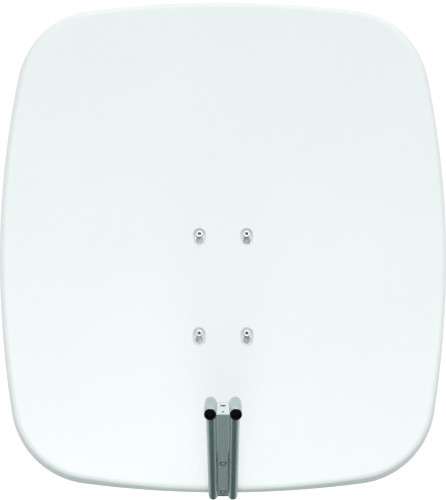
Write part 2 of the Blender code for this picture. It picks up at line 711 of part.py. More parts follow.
def make_bracket():
    """Folded channel: a web on the mast's side and two sides that reach forward to the pivot."""
    web = rounded_box((-BRACKET_HALF, -BRACKET_HALF_HEIGHT), (BRACKET_HALF, BRACKET_HALF_HEIGHT), 0.006)
    bracket = part("mast_bracket", prism(web, -BRACKET_WEB - PLATE, -BRACKET_WEB, along_y), GALVANISED)
    slot = elevation_slot()
    front_low = min(slot, key=lambda point: point[1])
    side = hull([(-BRACKET_WEB, -BRACKET_HALF_HEIGHT), (-BRACKET_WEB, BRACKET_HALF_HEIGHT),
                 (-BRACKET_WEB - 0.015, BRACKET_HALF_HEIGHT)]
                + arc((PIVOT.y, PIVOT.z), 0.019, 0, 2 * pi, 20)
                + arc((front_low[0], front_low[1] + 0.0045), 0.0135, 0, 2 * pi, 12))
    for sign in (-1, 1):
        inner, outer = sorted((sign * (BRACKET_HALF - PLATE), sign * BRACKET_HALF))
        boolean(bracket, "UNION", prism(side, inner, outer, across_x))
    boolean(bracket, "DIFFERENCE", prism(slot, -0.08, 0.08, across_x))
    boolean(bracket, "DIFFERENCE", drills([(PIVOT, (1, 0, 0))], 0.0053, 0.2))
    boolean(bracket, "DIFFERENCE", drills(clamp_holes(-BRACKET_WEB), 0.0044))


def clamp_holes(y):
    return [((x, y, z), (0, 1, 0)) for x in (-CLAMP_X, CLAMP_X) for z in (-CLAMP_Z, CLAMP_Z)]


def make_jaw(name, sign):
    """Pressed plate with a 120-degree vee that bites the mast; sign -1 is the front one."""
    half = [Vector((x, sign * -y)) for x, y in JAW_PATH]
    path = half + [Vector((-point.x, point.y)) for point in half[-2::-1]]
    path = rounded([tuple(point) for point in path], (0.004, 0.003, 0.003, 0.003, 0.004), 3)
    outline = thickened(path, JAW)
    jaw = part(name, prism(outline, -JAW_HALF_HEIGHT, JAW_HALF_HEIGHT, along_z), GALVANISED)
    boolean(jaw, "DIFFERENCE", drills(clamp_holes(sign * -JAW_PATH[0][1]), 0.0044))
    return jaw


def make_clamp():
    make_jaw("front_jaw", 1)
    make_jaw("rear_jaw", -1)
    front = -BRACKET_WEB - PLATE - GAP
    rear = JAW_PATH[0][1] + JAW / 2 + GAP
    for side, x in (("left", -CLAMP_X), ("right", CLAMP_X)):
        for level, z in (("lower", -CLAMP_Z), ("upper", CLAMP_Z)):
            label = level + "_" + side
            length = -CLAMP_TIP - front
            hex_bolt("clamp_bolt_" + label, 0.013, 0.0053, 0.008, length, None, along((x, front, z), (0, -1, 0)))
            washer("clamp_washer_" + label, 0.008, 0.0016, 0.008, None, along((x, rear, z), (0, 1, 0)))
            seat = rear + 0.0016 + GAP
            nut("clamp_nut_" + label, 0.013, 0.0065, 0.008, None, along((x, seat, z), (0, 1, 0)))


# ---------------------------------------------------------------- assembly

def main():
    clear_scene()
    tilt = Matrix.Translation(PIVOT) @ Matrix.Rotation(-REST_TILT, 4, "X")
    elevation_axis = empty("elevation_axis", None, tilt)
    aperture = empty("aperture_centre", elevation_axis, Matrix.Translation(-PIVOT_IN_APERTURE))
    seats = empty("carrier_frame", aperture, CARRIER_MATRIX)
    make_reflector(aperture)
    make_reflector_screws(seats)
    make_carrier(seats)
    make_web(aperture)
    make_strap(aperture)
    make_arm_hardware(aperture, seats)
    make_pivot(elevation_axis)
    make_lock_bolts(elevation_axis)
    make_bracket()
    make_clamp()


main()
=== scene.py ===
"""Looks of the offset satellite dish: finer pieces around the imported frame, their finishes, light and camera.

Metres, +Z up, the dish looks along -Y. Each fine piece stands where its CAD node stands, so the sizes below
are the CAD's own. APERTURE, CARRIER and ELEVATION are the same frames that the CAD is drawn in.
"""

from math import acos, atan, atan2, cos, hypot, inf, pi, radians, sin, sqrt, tan

import bmesh
import bpy
from mathutils import Matrix, Vector
from mathutils.geometry import convex_hull_2d, delaunay_2d_cdt


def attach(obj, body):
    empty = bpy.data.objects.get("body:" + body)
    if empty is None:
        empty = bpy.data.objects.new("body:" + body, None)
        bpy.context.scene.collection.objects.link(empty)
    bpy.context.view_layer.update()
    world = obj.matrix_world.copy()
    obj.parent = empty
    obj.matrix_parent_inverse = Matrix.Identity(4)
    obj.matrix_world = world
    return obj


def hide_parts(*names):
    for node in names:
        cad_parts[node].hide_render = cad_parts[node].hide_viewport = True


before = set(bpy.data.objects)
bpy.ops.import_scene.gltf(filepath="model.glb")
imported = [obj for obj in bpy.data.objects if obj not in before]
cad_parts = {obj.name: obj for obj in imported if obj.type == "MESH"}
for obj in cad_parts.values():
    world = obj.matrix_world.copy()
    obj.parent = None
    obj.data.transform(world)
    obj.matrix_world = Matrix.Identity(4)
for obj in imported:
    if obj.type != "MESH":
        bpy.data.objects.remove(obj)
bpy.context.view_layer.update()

GAP = 0.0003
EDGE = 0.0004                       # how far a plate's cut edges are rounded
FORWARD = (0, -1, 0)
BACK = (0, 1, 0)

# Reflector
HALF_WIDTH = 0.423
HALF_HEIGHT = 0.4665
SIDE_RADIUS = 1.457
CORNER_RADIUS = 0.1565
OFFSET_ANGLE = radians(22.5)
LOWER_EDGE = 0.03
SHEET = 0.0015
LIP_RADIUS = 0.009
SKIRT_DEPTH = 0.033
SKIRT_DRAFT = radians(16)
LIP_STEPS = 14
SKIRT_STEPS = 3
SIDE_STEPS = 22
CORNER_STEPS = 36
RINGS = 44

# Keyholes and their pressed seats
BOLT_X = 0.0465
BOLT_TOP = 0.0213
BOLT_BOTTOM = -0.1745
SEAT_SINK = 0.0043
SEAT_LENGTH = 0.012
SEAT_FLAT = 0.0084                  # the wall's foot and shoulder, from the seat's middle line
SEAT_SHOULDER = 0.0132
SEAT_LOOPS = 11
KEY_SLOT_RADIUS = 0.0045
KEY_HOLE_RADIUS = 0.0078
KEY_TRAVEL = 0.0126

# Elevation mount
REST_TILT = radians(5.5)
PIVOT = Vector((0, -0.118, 0.035))
PIVOT_IN_APERTURE = Vector((0, 0.128, -0.035))
LOCK_RADIUS = 0.07
LOCK_ANGLE = radians(40)
TILT_DOWN = radians(18)
TILT_UP = radians(22)
LOCK_SLOT_RADIUS = 0.0045

# Plates
PLATE = 0.003
FOLD = 0.003                        # inner radius of a folded plate
CARRIER_HALF = 0.063
CARRIER_BOTTOM = -0.150
CARRIER_TOP = 0.128
EAR_BOTTOM = -0.100
EAR_TOP = 0.085
BRACKET_HALF = 0.0595
BRACKET_WEB = 0.040
BRACKET_HALF_HEIGHT = 0.05

# Feed arm
TUBE_RADIUS = 0.0086
TUBE_BORE = 0.0071
TUBE_HALF_PITCH = 0.01815
ARM_CROSSING = -0.4846
ARM_SLOPE = radians(26.3)
ARM_START = 0.0235
WEB_START = 0.0275
ARM_RUN = 0.3917
ARM_BEND = 0.236
NOSE_DROP = radians(18.2)
NOSE_LENGTH = 0.004
WEB_THICKNESS = 0.002
WEB_EDGE = 0.0002
WEB_SLOT_BACK = 0.037
WEB_SLOT_RADIUS = 0.0043
WEB_PIN_BACK = 0.007
WEB_PIN_RADIUS = 0.0021
STRAP = 0.0035
STRAP_HALF = 0.025
STRAP_CORNER = 0.008
STRAP_END = 0.215
STRAP_DROP = -0.4788
STRAP_TOP = -0.060
STRAP_BENDS = (0.012, 0.010)
WEB_SCREWS = (0.0457, 0.19)
STRAP_BOLTS = (-0.136, -0.088)

# Mast clamp
JAW = 0.0035
JAW_HALF_HEIGHT = 0.034
JAW_PATH = ((0.0575, 0.0378), (0.0385, 0.0378), (0.0315, 0.0127), (0, 0.0309))
CLAMP_X = 0.048
CLAMP_Z = 0.022
CLAMP_TIP = -0.070

# Fasteners: a bolt or nut is (across flats, height, thread), a washer is (outer radius, thickness, thread)
M6_BOLT = (0.01, 0.004, 0.006)
M8_BOLT = (0.013, 0.0053, 0.008)
M10_BOLT = (0.017, 0.0064, 0.01)
M6_NUT = (0.01, 0.005, 0.006)
M8_NUT = (0.013, 0.0065, 0.008)
M10_NUT = (0.017, 0.008, 0.01)
M8_WASHER = (0.008, 0.0016, 0.008)
M10_WASHER = (0.0105, 0.002, 0.01)
PITCHES = {0.006: 0.001, 0.008: 0.00125, 0.01: 0.0015}
THREAD_DEPTH = 0.55                 # of the pitch

# Their lengths under the head
REFLECTOR_SCREW = 0.0155
LOCK_BOLT = 0.0185
WEB_SCREW = 0.021
STRAP_BOLT = 0.0089

# Radii of the holes for them
M6_HOLE = 0.0033
M8_HOLE = 0.0043
M10_HOLE = 0.0053
CLAMP_HOLE = 0.0044
SCREW_HOLE = 0.0045

# Floor and camera
FLOOR_HALF = 40
FLOOR_HEIGHT = -0.72
CAMERA_PLACE = (0, -2.342, 0.0646)
FOCAL_MM = 79.34
SENSOR_MM = 36

# Paraboloid
CHORD = 2 * HALF_HEIGHT * cos(OFFSET_ANGLE)
FOCAL_LENGTH = (2 * LOWER_EDGE + CHORD) / (4 * tan(OFFSET_ANGLE))
MID_OFFSET = LOWER_EDGE + CHORD / 2
MID_DEPTH = (LOWER_EDGE ** 2 + (LOWER_EDGE + CHORD) ** 2) / (8 * FOCAL_LENGTH)


def dish_height(x, z):
    """How far the paraboloid stands in front of the rim plane at (x, z): negative inside the bowl."""
    lean, rise = sin(OFFSET_ANGLE), cos(OFFSET_ANGLE)
    across = MID_OFFSET + z * rise
    linear = 2 * across * lean + 4 * FOCAL_LENGTH * rise
    constant = x * x + across * across - 4 * FOCAL_LENGTH * (MID_DEPTH + z * lean)
    return (linear - sqrt(linear * linear - 4 * lean * lean * constant)) / (2 * lean * lean)


SEAT_HIGH = -dish_height(BOLT_X, BOLT_TOP) + SEAT_SINK
SEAT_LOW = -dish_height(BOLT_X, BOLT_BOTTOM) + SEAT_SINK
SEAT_TILT = atan((SEAT_HIGH - SEAT_LOW) / (BOLT_TOP - BOLT_BOTTOM))
PATTERN_HALF = hypot(SEAT_HIGH - SEAT_LOW, BOLT_TOP - BOLT_BOTTOM) / 2
PATTERN_CENTRE = Vector((0, (SEAT_HIGH + SEAT_LOW) / 2 + SHEET, (BOLT_TOP + BOLT_BOTTOM) / 2))
IN_APERTURE = Matrix.Translation(PATTERN_CENTRE) @ Matrix.Rotation(-SEAT_TILT, 4, "X")
LOCK_IN_APERTURE = PIVOT_IN_APERTURE + Vector((0, sin(LOCK_ANGLE), -cos(LOCK_ANGLE))) * LOCK_RADIUS

WORLD = Matrix.Identity(4)
ELEVATION = Matrix.Translation(PIVOT) @ Matrix.Rotation(-REST_TILT, 4, "X")
APERTURE = ELEVATION @ Matrix.Translation(-PIVOT_IN_APERTURE)
CARRIER = APERTURE @ IN_APERTURE


# ---------------- finishes

class Nodes:
    """A node tree and the nodes added to it."""

    def __init__(self, tree, coordinates):
        self.tree = tree
        self.place = tree.nodes.new("ShaderNodeTexCoord").outputs[coordinates]

    def add(self, kind, links=(), values=(), **settings):
        made = self.tree.nodes.new("ShaderNode" + kind)
        for setting, value in settings.items():
            setattr(made, setting, value)
        for socket, value in values:
            made.inputs[socket].default_value = value
        for socket, source in links:
            self.tree.links.new(source, made.inputs[socket])
        return made

    def ramp(self, source, stops):
        """A colour ramp from (position, colour) stops; a bare number is a grey."""
        made = self.add("ValToRGB", [("Fac", source)])
        elements = made.color_ramp.elements
        while len(elements) < len(stops):
            elements.new(0.5)
        for element, (position, colour) in zip(elements, stops):
            element.position = position
            element.color = (*colour, 1) if isinstance(colour, tuple) else (colour, colour, colour, 1)
        return made.outputs["Color"]

    def mix(self, first, second, factor, blend="MIX"):
        made = self.add("Mix", data_type="RGBA", blend_type=blend)
        for index, value in ((0, factor), (6, first), (7, second)):
            if isinstance(value, bpy.types.NodeSocket):
                self.tree.links.new(value, made.inputs[index])
            else:
                made.inputs[index].default_value = value if index == 0 else (*value, 1)
        return made.outputs[2]


class Finish(Nodes):
    """A Principled material whose colour, roughness and bump come from procedural nodes."""

    def __init__(self, name, **sockets):
        self.material = bpy.data.materials.new(name)
        self.material.use_nodes = True
        super().__init__(self.material.node_tree, "Object")
        self.shader = self.tree.nodes["Principled BSDF"]
        for socket, value in sockets.items():
            self.shader.inputs[socket.replace("_", " ")].default_value = value

    def stretched(self, scale):
        mapping = self.add("Mapping", [("Vector", self.place)], [("Scale", scale)])
        return mapping.outputs["Vector"]

    def noise(self, scale, detail=3, source=None):
        values = [("Scale", scale), ("Detail", detail)]
        return self.add("TexNoise", [("Vector", source or self.place)], values).outputs["Fac"]

    def cells(self, scale, output, source):
        return self.add("TexVoronoi", [("Vector", source)], [("Scale", scale)]).outputs[output]

    def painted_hollow_shade(self, colour, reach, darkest, open_from=0.8):
        """The colour darkened by painted shade where the surface is shut in, as in sockets, holes and corners.
        """
        hollow = self.add("AmbientOcclusion", values=[("Distance", reach)], samples=8)
        hollow_shade = self.ramp(hollow.outputs["AO"], [(0.3, darkest), (open_from, 1.0)])
        return self.mix(colour, hollow_shade, 1.0, "MULTIPLY")

    def set(self, socket, source):
        self.tree.links.new(source, self.shader.inputs[socket])

    def bump(self, *layers):
        """Stack bumps given as (height, strength, distance)."""
        before = None
        for height, strength, distance in layers:
            made = self.add("Bump", [("Height", height)], [("Strength", strength), ("Distance", distance)])
            if before:
                self.tree.links.new(before, made.inputs["Normal"])
            before = made.outputs["Normal"]
        self.set("Normal", before)


def enamel_finish():
    """Satin off-white powder coat: faint orange peel, very slight cloudiness and a few dull patches."""
    made = Finish("reflector_enamel", Metallic=0.0, Coat_Weight=0.12, Coat_Roughness=0.3)
    cloud = made.noise(5, 4)
    speck = made.noise(900, 2)
    base = made.ramp(cloud, [(0.3, (0.846, 0.889, 0.886)), (0.7, (0.862, 0.903, 0.901))])
    fleck = made.ramp(speck, [(0.28, (0.95, 0.955, 0.955)), (0.4, (1, 1, 1))])
    made.set("Base Color", made.mix(base, fleck, 0.5, "MULTIPLY"))
    made.set("Roughness", made.ramp(made.noise(9, 5), [(0.3, 0.36), (0.7, 0.46)]))
    made.bump((made.noise(420, 2), 0.22, 0.00025), (made.noise(1500, 1), 0.12, 0.0001))
    return made.material


def galvanised_finish():
    """Galvanised sheet: crystalline spangle of uneven greys, dull patches and a faint rolled grain."""
    made = Finish("galvanised_steel", Metallic=0.92)
    wobble = made.add("TexNoise", [("Vector", made.place)], [("Scale", 60.0)])
    warped = made.mix(made.place, wobble.outputs["Color"], 0.012)
    spangle = made.cells(130, "Color", warped)
    grey = made.ramp(made.add("RGBToBW", [("Color", spangle)]).outputs["Val"],
                     [(0.15, (0.34, 0.37, 0.375)), (0.5, (0.45, 0.48, 0.485)), (0.9, (0.57, 0.6, 0.6))])
    patch = made.ramp(made.noise(22, 5), [(0.42, (0.86, 0.87, 0.87)), (0.62, (1, 1, 1))])
    made.set("Base Color", made.mix(grey, patch, 0.8, "MULTIPLY"))
    rough = made.ramp(made.cells(130, "Distance", warped), [(0.0, 0.34), (0.9, 0.5)])
    made.set("Roughness", made.mix(rough, made.ramp(made.noise(22, 5), [(0.4, 0.62), (0.62, 0.36)]), 0.45))
    made.bump((made.cells(130, "Distance", warped), 0.18, 0.0003), (made.noise(1300, 3), 0.2, 0.0001))
    return made.material


def zinc_finish(shade):
    """Zinc plate: slight blue and straw tints, fine scratches and rubbed patches, with painted shade in sockets
    and under heads; a lower shade gives a darker, shaded copy.
    """
    made = Finish("zinc_plated_steel", Metallic=0.8)
    tints = ((0.3, (0.90, 0.94, 0.95)), (0.55, (0.94, 0.97, 0.97)), (0.75, (0.95, 0.97, 0.94)))
    tint = made.ramp(made.noise(160, 3),
                     [(position, tuple(share * shade for share in colour)) for position, colour in tints])
    scratch = made.noise(260, 4, made.stretched((1, 1, 9)))
    worn = made.mix(tint, made.ramp(scratch, [(0.35, 0.86), (0.6, 1.0)]), 0.6, "MULTIPLY")
    # painted shade: sockets, bores and the foot of each head darkened by ambient occlusion
    made.set("Base Color", made.painted_hollow_shade(worn, 0.006, 0.02))
    made.set("Roughness", made.ramp(scratch, [(0.3, 0.4), (0.7, 0.22)]))
    made.bump((scratch, 0.15, 0.00012), (made.noise(2400, 2), 0.12, 0.00005))
    return made.material


def arm_finish(darker, lighter, smoothest, roughest, edge):
    """Drawn grey metal: fine lines along the tubes, mottled patina, small rubbed spots and painted shade in
    holes and corners.
    """
    made = Finish("arm_metal", Metallic=0.9, Specular_Tint=(edge, edge, edge, 1))
    grain = made.add("Attribute", attribute_name="grain", attribute_type="GEOMETRY").outputs["Vector"]
    lines = made.noise(1700, 3, grain)
    patina = made.noise(45, 5)
    grey = made.ramp(patina, [(0.3, darker), (0.7, lighter)])
    drawn = made.mix(grey, made.ramp(lines, [(0.3, 0.84), (0.7, 1.0)]), 0.6, "MULTIPLY")
    # painted shade in the holes and in the corners between tubes, web and screws
    made.set("Base Color", made.painted_hollow_shade(drawn, 0.004, 0.1, 0.6))
    rough = made.ramp(lines, [(0.3, roughest), (0.7, smoothest)])
    made.set("Roughness", made.mix(rough, made.ramp(patina, [(0.35, roughest), (0.65, smoothest)]), 0.4))
    made.bump((lines, 0.10, 0.0001), (made.noise(900, 2), 0.06, 0.0001))
    return made.material


def plastic_finish():
    """Matt black moulding with a fine spark-eroded grain."""
    made = Finish("black_plastic", Metallic=0.0, Specular_IOR_Level=0.05)
    grain = made.noise(1900, 3)
    made.set("Base Color", made.ramp(grain, [(0.3, (0.0012, 0.0018, 0.0016)), (0.7, (0.004, 0.0052, 0.005))]))
    made.set("Roughness", made.ramp(made.noise(120, 3), [(0.3, 0.5), (0.7, 0.62)]))
    made.bump((grain, 0.35, 0.00015))
    return made.material


def ink_finish():
    """Worn dark marking on the mount's elevation scale."""
    made = Finish("scale_ink", Metallic=0.0)
    worn = made.noise(700, 4)
    made.set("Base Color", made.ramp(worn, [(0.35, (0.02, 0.022, 0.025)), (0.75, (0.09, 0.095, 0.1))]))
    made.set("Roughness", made.ramp(worn, [(0.3, 0.5), (0.7, 0.7)]))
    made.bump((worn, 0.2, 0.0001))
    return made.material


def floor_finish():
    """Plain pale floor that glows a little, so that no horizon or shadow edge shows."""
    made = Finish("pale_floor", Roughness=0.9, Specular_IOR_Level=0.1, Emission_Color=(1, 1, 1, 1),
                  Emission_Strength=0.4)
    cloud = made.noise(3, 3)
    made.set("Base Color", made.ramp(cloud, [(0.3, (0.90, 0.905, 0.905)), (0.7, (0.93, 0.935, 0.935))]))
    return made.material


ENAMEL = enamel_finish()
GALVANISED = galvanised_finish()
ZINC = zinc_finish(1.0)
# a darker copy of the zinc: painted shade for the screws under the arm
SHADED_ZINC = zinc_finish(0.5)
ARM_METAL = arm_finish((0.60, 0.69, 0.68), (0.70, 0.79, 0.78), 0.14, 0.24, 0.7)
WEB_METAL = arm_finish((0.80, 0.88, 0.87), (0.90, 0.97, 0.96), 0.42, 0.56, 1.0)
# near-black copy of the arm metal: painted shade on the walls of the web's two holes
SHADED_BORE_METAL = arm_finish((0.02, 0.03, 0.03), (0.05, 0.06, 0.06), 0.5, 0.6, 0.3)
PLASTIC = plastic_finish()
INK = ink_finish()


# ---------------- pieces and modifiers

def put(name, data):
    made = bpy.data.objects.new(name, data)
    bpy.context.scene.collection.objects.link(made)
    return made


def link(name, shape, crease=35):
    bmesh.ops.recalc_face_normals(shape, faces=shape.faces)
    mesh = bpy.data.meshes.new(name)
    shape.to_mesh(mesh)
    shape.free()
    mesh.shade_smooth()
    mesh.set_sharp_from_angle(angle=radians(crease))
    return put(name, mesh)


def piece(node, shape, material, body, matrix=WORLD, crease=35, drawn_along=None):
    """A fine piece that stands for one CAD node."""
    made = link(node + "_fine", shape, crease)
    made.data.materials.append(material)
    if drawn_along:
        add_grain(made, drawn_along)
    made.data.transform(matrix)
    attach(made, body)
    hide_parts(node)
    return made


def round_edges(made, width, angle):
    bevel = made.modifiers.new("edges", "BEVEL")
    bevel.width = width
    bevel.segments = 2
    bevel.limit_method = "ANGLE"
    bevel.angle_limit = radians(angle)
    return bevel


def soften(made, width=EDGE):
    """Round the sharp edges, so that they catch the light, and keep flat faces flat."""
    round_edges(made, width, 40).miter_outer = "MITER_ARC"
    flatten = made.modifiers.new("flat faces", "WEIGHTED_NORMAL")
    flatten.keep_sharp = True


def carved(shape, *steps):
    """The mesh after each (operation, tool mesh) in turn."""
    base = link("carving", shape)
    tools = []
    for operation, tool_mesh in steps:
        tool = link("tool", tool_mesh)
        tools.append(tool)
        modifier = base.modifiers.new("step", "BOOLEAN")
        modifier.operation = operation
        modifier.object = tool
    bpy.context.view_layer.update()
    finished = bpy.data.meshes.new_from_object(base.evaluated_get(bpy.context.evaluated_depsgraph_get()))
    result = bmesh.new()
    result.from_mesh(finished)
    for used in tools + [base]:
        bpy.data.objects.remove(used, do_unlink=True)
    return result


# ---------------- mesh helpers

def along(position, direction):
    """A matrix at position whose Z points along direction."""
    turn = Vector(direction).to_track_quat("Z", "X").to_matrix().to_4x4()
    return Matrix.Translation(position) @ turn


def loft(shape, rings, closed=False):
    loops = [[shape.verts.new(point) for point in ring] for ring in rings]
    pairs = list(zip(loops, loops[1:]))
    if closed:
        pairs.append((loops[-1], loops[0]))
    for low, high in pairs:
        for index in range(len(low)):
            following = (index + 1) % len(low)
            shape.faces.new((low[index], low[following], high[following], high[index]))
    if not closed:
        shape.faces.new(loops[0])
        shape.faces.new(loops[-1])


def circle(radius):
    return lambda angle: radius


def hexagon(half_across, limit=inf):
    """A hexagon's reach by angle, cut by a chamfer's cone of that radius."""
    return lambda angle: min(half_across / cos((angle + pi / 6) % (pi / 3) - pi / 6), limit)


def thread(radius, pitch, height):
    """One level of a helical thread."""
    depth = THREAD_DEPTH * pitch
    return lambda angle: radius - depth * abs(((height / pitch - angle / (2 * pi)) % 1) * 2 - 1)


def turned(levels, sides=36, closed=False, turn=WORLD):
    """Skin levels of (reach by angle, height) about Z."""
    rings = []
    for reach, height in levels:
        ring = []
        for index in range(sides):
            angle = 2 * pi * index / sides
            ring.append(turn @ Vector((reach(angle) * cos(angle), reach(angle) * sin(angle), height)))
        rings.append(ring)
    shape = bmesh.new()
    loft(shape, rings, closed)
    return shape


def prism(outline, low, high, lift):
    shape = bmesh.new()
    loft(shape, [[lift(a, b, depth) for a, b in outline] for depth in (low, high)])
    return shape


def across_x(a, b, depth):
    return Vector((depth, a, b))


def along_z(a, b, depth):
    return Vector((a, b, depth))


def along_y(a, b, depth):
    return Vector((a, depth, b))


def merged(*meshes):
    result = bmesh.new()
    for source in meshes:
        copy = bpy.data.meshes.new("merge")
        source.to_mesh(copy)
        source.free()
        result.from_mesh(copy)
        bpy.data.meshes.remove(copy)
    return result


def drill(holes, radius, length=0.02):
    """The step that carves round holes at (position, direction)."""
    rod = [(circle(radius), -length / 2), (circle(radius), length / 2)]
    return "DIFFERENCE", merged(*(turned(rod, 40, turn=along(*hole)) for hole in holes))


def four_holes(across, up, depth=0):
    """Holes at (x, z) = (+-across, +-up) through a plate that faces along Y."""
    return [((x, depth, z), BACK) for x in (-across, across) for z in (-up, up)]


def arc(centre, radius, start, end, steps):
    angles = [start + (end - start) * step / steps for step in range(steps + 1)]
    return [(centre[0] + radius * cos(angle), centre[1] + radius * sin(angle)) for angle in angles]


def rounded(path, radii, steps=12):
    """A polyline whose inner corners are replaced by arcs."""
    points = [Vector(path[0])]
    for before, corner, after, radius in zip(path, path[1:], path[2:], radii):
        corner = Vector(corner)
        back = (Vector(before) - corner).normalized()
        ahead = (Vector(after) - corner).normalized()
        half = acos(back.dot(ahead)) / 2
        centre = corner + (back + ahead).normalized() * radius / sin(half)
        first = corner + back * radius / tan(half) - centre
        sweep = first.angle_signed(corner + ahead * radius / tan(half) - centre)
        for step in range(steps + 1):
            points.append(centre + Matrix.Rotation(-sweep * step / steps, 2) @ first)
    points.append(Vector(path[-1]))
    return points


def thickened(path, thickness):
    """The outline of a strip of even thickness that follows a path."""
    sides = [[], []]
    for index, point in enumerate(path):
        before = path[max(index - 1, 0)]
        after = path[min(index + 1, len(path) - 1)]
        direction = (after - before).normalized()
        inside = 0 < index < len(path) - 1
        stretch = 1 / max((point - before).normalized().dot(direction), 0.5) if inside else 1
        offset = Vector((-direction.y, direction.x)) * thickness / 2 * stretch
        sides[0].append(point + offset)
        sides[1].append(point - offset)
    return sides[0] + sides[1][::-1]


def hull(points):
    return [points[index] for index in convex_hull_2d([Vector(point) for point in points])]


def rounded_box(low, high, radius, steps=8):
    corners = ((high[0], high[1], 0), (low[0], high[1], 1), (low[0], low[1], 2), (high[0], low[1], 3))
    outline = []
    for x, z, quarter in corners:
        centre = (x - radius if quarter in (0, 3) else x + radius, z - radius if quarter < 2 else z + radius)
        outline += arc(centre, radius, quarter * pi / 2, (quarter + 1) * pi / 2, steps)
    return outline


# ---------------- reflector

def rim_outline():
    """The whole rim in (x, z), anticlockwise from the +X side."""
    side_centre = Vector((HALF_WIDTH - SIDE_RADIUS, 0))
    top_centre = Vector((0, HALF_HEIGHT - SIDE_RADIUS))
    reach = SIDE_RADIUS - CORNER_RADIUS
    span = top_centre - side_centre
    square = Vector((-span.y, span.x)).normalized()
    corner_centre = (side_centre + top_centre) / 2 + square * sqrt(reach * reach - span.length_squared / 4)
    to_side = corner_centre - side_centre
    to_top = corner_centre - top_centre
    first = atan2(to_side.y, to_side.x)
    second = atan2(to_top.y, to_top.x)
    quarter = arc(side_centre, SIDE_RADIUS, 0, first, SIDE_STEPS)
    quarter += arc(corner_centre, CORNER_RADIUS, first, second, CORNER_STEPS)[1:]
    quarter += arc(top_centre, SIDE_RADIUS, second, pi / 2, SIDE_STEPS)[1:]
    upper = quarter + [(-x, z) for x, z in quarter[-2::-1]]
    return upper + [(x, -z) for x, z in upper[-2:0:-1]]


def rim_section(before, point, after):
    """Points of the lip and skirt at one place on the rim, from the bowl's edge to the skirt's back edge."""
    tangent = (Vector(after) - Vector(before)).normalized()
    outward = Vector((tangent.y, -tangent.x))
    edge = Vector(point)
    height = dish_height(*edge)
    inner = edge - outward * LIP_RADIUS
    bowl = Vector((-LIP_RADIUS, dish_height(*inner) - height)).normalized()
    skirt = Vector((sin(SKIRT_DRAFT), -cos(SKIRT_DRAFT)))
    half = acos(bowl.dot(skirt)) / 2
    centre = (bowl + skirt).normalized() * LIP_RADIUS / sin(half)
    first = bowl * LIP_RADIUS / tan(half) - centre
    last = skirt * LIP_RADIUS / tan(half)
    sweep = first.angle_signed(last - centre)
    section = [centre + Matrix.Rotation(-sweep * step / LIP_STEPS, 2) @ first
               for step in range(LIP_STEPS + 1)]
    hem = skirt * (height + SKIRT_DEPTH) / cos(SKIRT_DRAFT)
    section += [last.lerp(hem, step / SKIRT_STEPS) for step in range(1, SKIRT_STEPS + 1)]
    places = []
    for out, forward in section:
        flat = edge + outward * out
        places.append(Vector((flat.x, -(height + forward), flat.y)))
    return places


SEATS = [(centre_x, seat) for centre_x in (-BOLT_X, BOLT_X) for seat in (BOLT_TOP, BOLT_BOTTOM)]


def from_seat(flat, centre_x, seat):
    beyond = max(abs(flat.y - (seat - KEY_TRAVEL / 2)) - SEAT_LENGTH / 2, 0)
    return hypot(flat.x - centre_x, beyond)


def in_keyhole(flat, centre_x, seat):
    in_hole = hypot(flat.x - centre_x, flat.y - (seat - KEY_TRAVEL)) < KEY_HOLE_RADIUS * 0.995
    in_slot = hypot(flat.x - centre_x, max(flat.y - seat, 0)) < KEY_SLOT_RADIUS * 0.99
    return in_hole or (in_slot and flat.y > seat - KEY_TRAVEL)


def bowl_depth(flat):
    """Depth behind the rim plane: the paraboloid, pressed back to a flat seat around each keyhole."""
    depth = -dish_height(flat.x, flat.y)
    for seat in SEATS:
        share = (from_seat(flat, *seat) - SEAT_FLAT) / (SEAT_SHOULDER - SEAT_FLAT)
        if share < 1:
            share = max(share, 0)
            blend = share * share * (3 - 2 * share)
            flat_seat = SEAT_LOW + (flat.y - BOLT_BOTTOM) * tan(SEAT_TILT)
            depth = flat_seat * (1 - blend) + depth * blend
    return depth


def bowl_points(sections):
    """Flat points and edges of the bowl: its rim, inner rings, then the keyholes and their seats' loops."""
    rim = [Vector((section[0].x, section[0].z)) for section in sections]
    rings = [Vector((0, 0))]
    for ring in range(1, RINGS):
        step = 1 if ring > RINGS * 0.5 else 2 if ring > RINGS * 0.25 else 4 if ring > RINGS * 0.1 else 16
        rings += [point * ring / RINGS for point in rim[::step]]
    clear = SEAT_SHOULDER + 0.006
    points = rim + [point for point in rings if all(from_seat(point, *seat) > clear for seat in SEATS)]
    edges = [(index, (index + 1) % len(rim)) for index in range(len(rim))]
    for centre_x, seat in SEATS:
        hole = seat - KEY_TRAVEL
        mouth = atan2(KEY_SLOT_RADIUS, sqrt(KEY_HOLE_RADIUS ** 2 - KEY_SLOT_RADIUS ** 2))
        loops = [arc((centre_x, seat), KEY_SLOT_RADIUS, 0, pi, 16)
                 + arc((centre_x, hole), KEY_HOLE_RADIUS, pi / 2 + mouth, 5 * pi / 2 - mouth, 36)]
        top = seat - KEY_TRAVEL / 2 + SEAT_LENGTH / 2
        for loop in range(SEAT_LOOPS + 1):
            radius = SEAT_FLAT + (SEAT_SHOULDER - SEAT_FLAT) * loop / (SEAT_LOOPS - 1)
            loops.append(arc((centre_x, top), radius, 0, pi, 20)
                         + arc((centre_x, top - SEAT_LENGTH), radius, pi, 2 * pi, 20))
        for loop in loops:
            first = len(points)
            points += [Vector(point) for point in loop]
            edges += [(first + step, first + (step + 1) % len(loop)) for step in range(len(loop))]
    return points, edges


